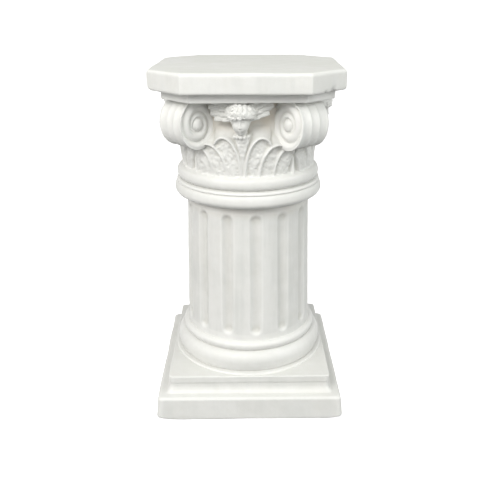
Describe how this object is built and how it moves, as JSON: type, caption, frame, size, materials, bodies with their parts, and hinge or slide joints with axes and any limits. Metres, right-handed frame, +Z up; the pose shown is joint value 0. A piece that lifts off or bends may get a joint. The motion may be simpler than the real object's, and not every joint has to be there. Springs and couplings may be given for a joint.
{
  "type": "column pedestal",
  "caption": "Square-footed classical column pedestal with a fluted shaft, corner volutes, leaf capital and eight-sided top, for standing a plant, bust or vase on.",
  "frame": {"origin": "centre of the square underside, on the surface that the pedestal stands on", "axes": "+Z up along the column, -Y out of the side that faces the viewer, +X to the viewer's right"},
  "size_m": [0.332, 0.332, 0.6],
  "materials": {
    "plaster": "matte white cast plaster, slightly mottled"
  },
  "bodies": {
    "root": {"pedestal": "plaster"}
  },
  "joints": []
}
